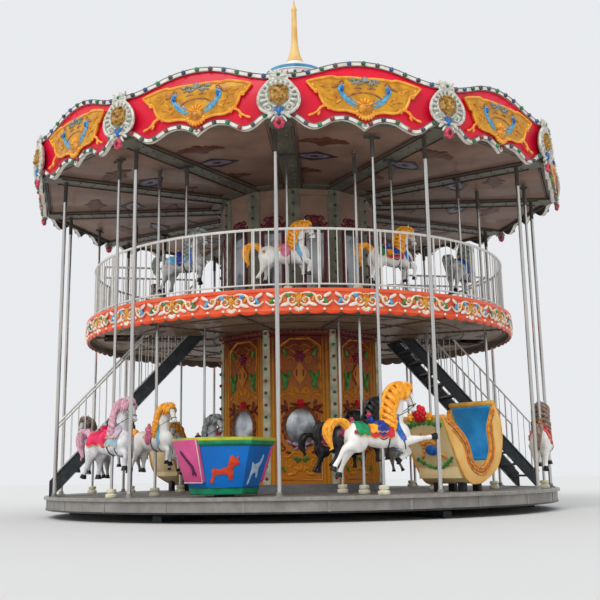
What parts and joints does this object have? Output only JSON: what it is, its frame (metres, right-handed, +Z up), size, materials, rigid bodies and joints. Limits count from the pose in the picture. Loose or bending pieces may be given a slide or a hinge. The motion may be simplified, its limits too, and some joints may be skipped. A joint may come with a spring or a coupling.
{
  "type": "double-deck fairground carousel",
  "caption": "Double-deck fairground carousel: round turning platform with jumping horses, tubs and carriages, stairs, railed upper deck, shaped crown and spire",
  "frame": {"origin": "centre of the base on the ground, on the axis of turn", "axes": "+Z up along the axis of turn, -Y to the front of the picture, +X to the right seen from the front"},
  "size_m": [10.0374, 10.0374, 10.1203],
  "materials": {
    "base_steel": "satin",
    "floor_plate": "satin",
    "core_panel": "gloss",
    "ceiling_panel": "matte",
    "fascia_paint": "gloss",
    "rail_paint": "satin",
    "stair_paint": "satin",
    "roof_skin": "matte",
    "cupola_paint": "gloss",
    "spire_gold": "gloss",
    "crown_paint": "gloss",
    "pole_steel": "polished",
    "horse_paint": "gloss",
    "tub_paint": "gloss",
    "carriage_paint": "gloss"
  },
  "bodies": {
    "base": {"base_frame": "base_steel", "centre_mast": "base_steel"},
    "turntable": {"platform": "floor_plate", "deck_floor_1": "floor_plate", "deck_floor_2": "floor_plate", "lower_core_wall_1": "core_panel", "lower_core_wall_2": "core_panel", "upper_core_wall_1": "core_panel", "upper_core_wall_2": "core_panel", "deck_ceiling": "ceiling_panel", "canopy": "ceiling_panel", "deck_fascia": "fascia_paint", "deck_railing_1": "rail_paint", "deck_railing_2": "rail_paint", "deck_railing_3": "rail_paint", "deck_railing_4": "rail_paint", "stair_rail_1": "rail_paint", "stair_rail_2": "rail_paint", "stair_flight_1": "stair_paint", "stair_flight_2": "stair_paint", "roof_cone": "roof_skin", "cupola": "cupola_paint", "spire": "spire_gold", "crown_1": "crown_paint", "crown_2": "crown_paint", "crown_3": "crown_paint", "crown_4": "crown_paint", "canopy_pole_1": "pole_steel", "canopy_pole_2": "pole_steel", "canopy_pole_3": "pole_steel", "canopy_pole_4": "pole_steel", "canopy_pole_5": "pole_steel", "canopy_pole_6": "pole_steel", "canopy_pole_7": "pole_steel", "canopy_pole_8": "pole_steel", "canopy_pole_9": "pole_steel", "canopy_pole_10": "pole_steel", "canopy_pole_11": "pole_steel", "canopy_pole_12": "pole_steel", "inner_horses_1": "horse_paint", "inner_horses_2": "horse_paint", "inner_horses_3": "horse_paint", "inner_horses_4": "horse_paint", "inner_horses_5": "horse_paint", "inner_horses_6": "horse_paint", "upper_horses_1": "horse_paint", "upper_horses_2": "horse_paint", "upper_horses_3": "horse_paint", "upper_horses_4": "horse_paint", "carriage_1": "carriage_paint", "carriage_2": "carriage_paint"},
    "horse_1_body": {"horse_1": "horse_paint"},
    "horse_2_body": {"horse_2": "horse_paint"},
    "horse_3_body": {"horse_3": "horse_paint"},
    "horse_4_body": {"horse_4": "horse_paint"},
    "horse_5_body": {"horse_5": "horse_paint"},
    "horse_6_body": {"horse_6": "horse_paint"},
    "tub_1_body": {"tub_1": "tub_paint"},
    "tub_2_body": {"tub_2": "tub_paint"}
  },
  "joints": [
    {"name": "platform_turn", "type": "hinge", "parent": "base", "child": "turntable", "pos_m": [0, 0, 0.35], "axis": [0, 0, 1], "continuous": true},
    {"name": "jump_1", "type": "slide", "parent": "turntable", "child": "horse_1_body", "axis": [0, 0, 1], "range_m": [-0.12, 0.12]},
    {"name": "jump_2", "type": "slide", "parent": "turntable", "child": "horse_2_body", "axis": [0, 0, 1], "range_m": [-0.12, 0.12]},
    {"name": "jump_3", "type": "slide", "parent": "turntable", "child": "horse_3_body", "axis": [0, 0, 1], "range_m": [-0.12, 0.12]},
    {"name": "jump_4", "type": "slide", "parent": "turntable", "child": "horse_4_body", "axis": [0, 0, 1], "range_m": [-0.12, 0.12]},
    {"name": "jump_5", "type": "slide", "parent": "turntable", "child": "horse_5_body", "axis": [0, 0, 1], "range_m": [-0.12, 0.12]},
    {"name": "jump_6", "type": "slide", "parent": "turntable", "child": "horse_6_body", "axis": [0, 0, 1], "range_m": [-0.12, 0.12]},
    {"name": "tub_spin_1", "type": "hinge", "parent": "turntable", "child": "tub_1_body", "pos_m": [-1.13719, -3.54192, 0.35], "axis": [0, 0, 1], "continuous": true},
    {"name": "tub_spin_2", "type": "hinge", "parent": "turntable", "child": "tub_2_body", "pos_m": [1.13719, 3.54192, 0.35], "axis": [0, 0, 1], "continuous": true}
  ]
}
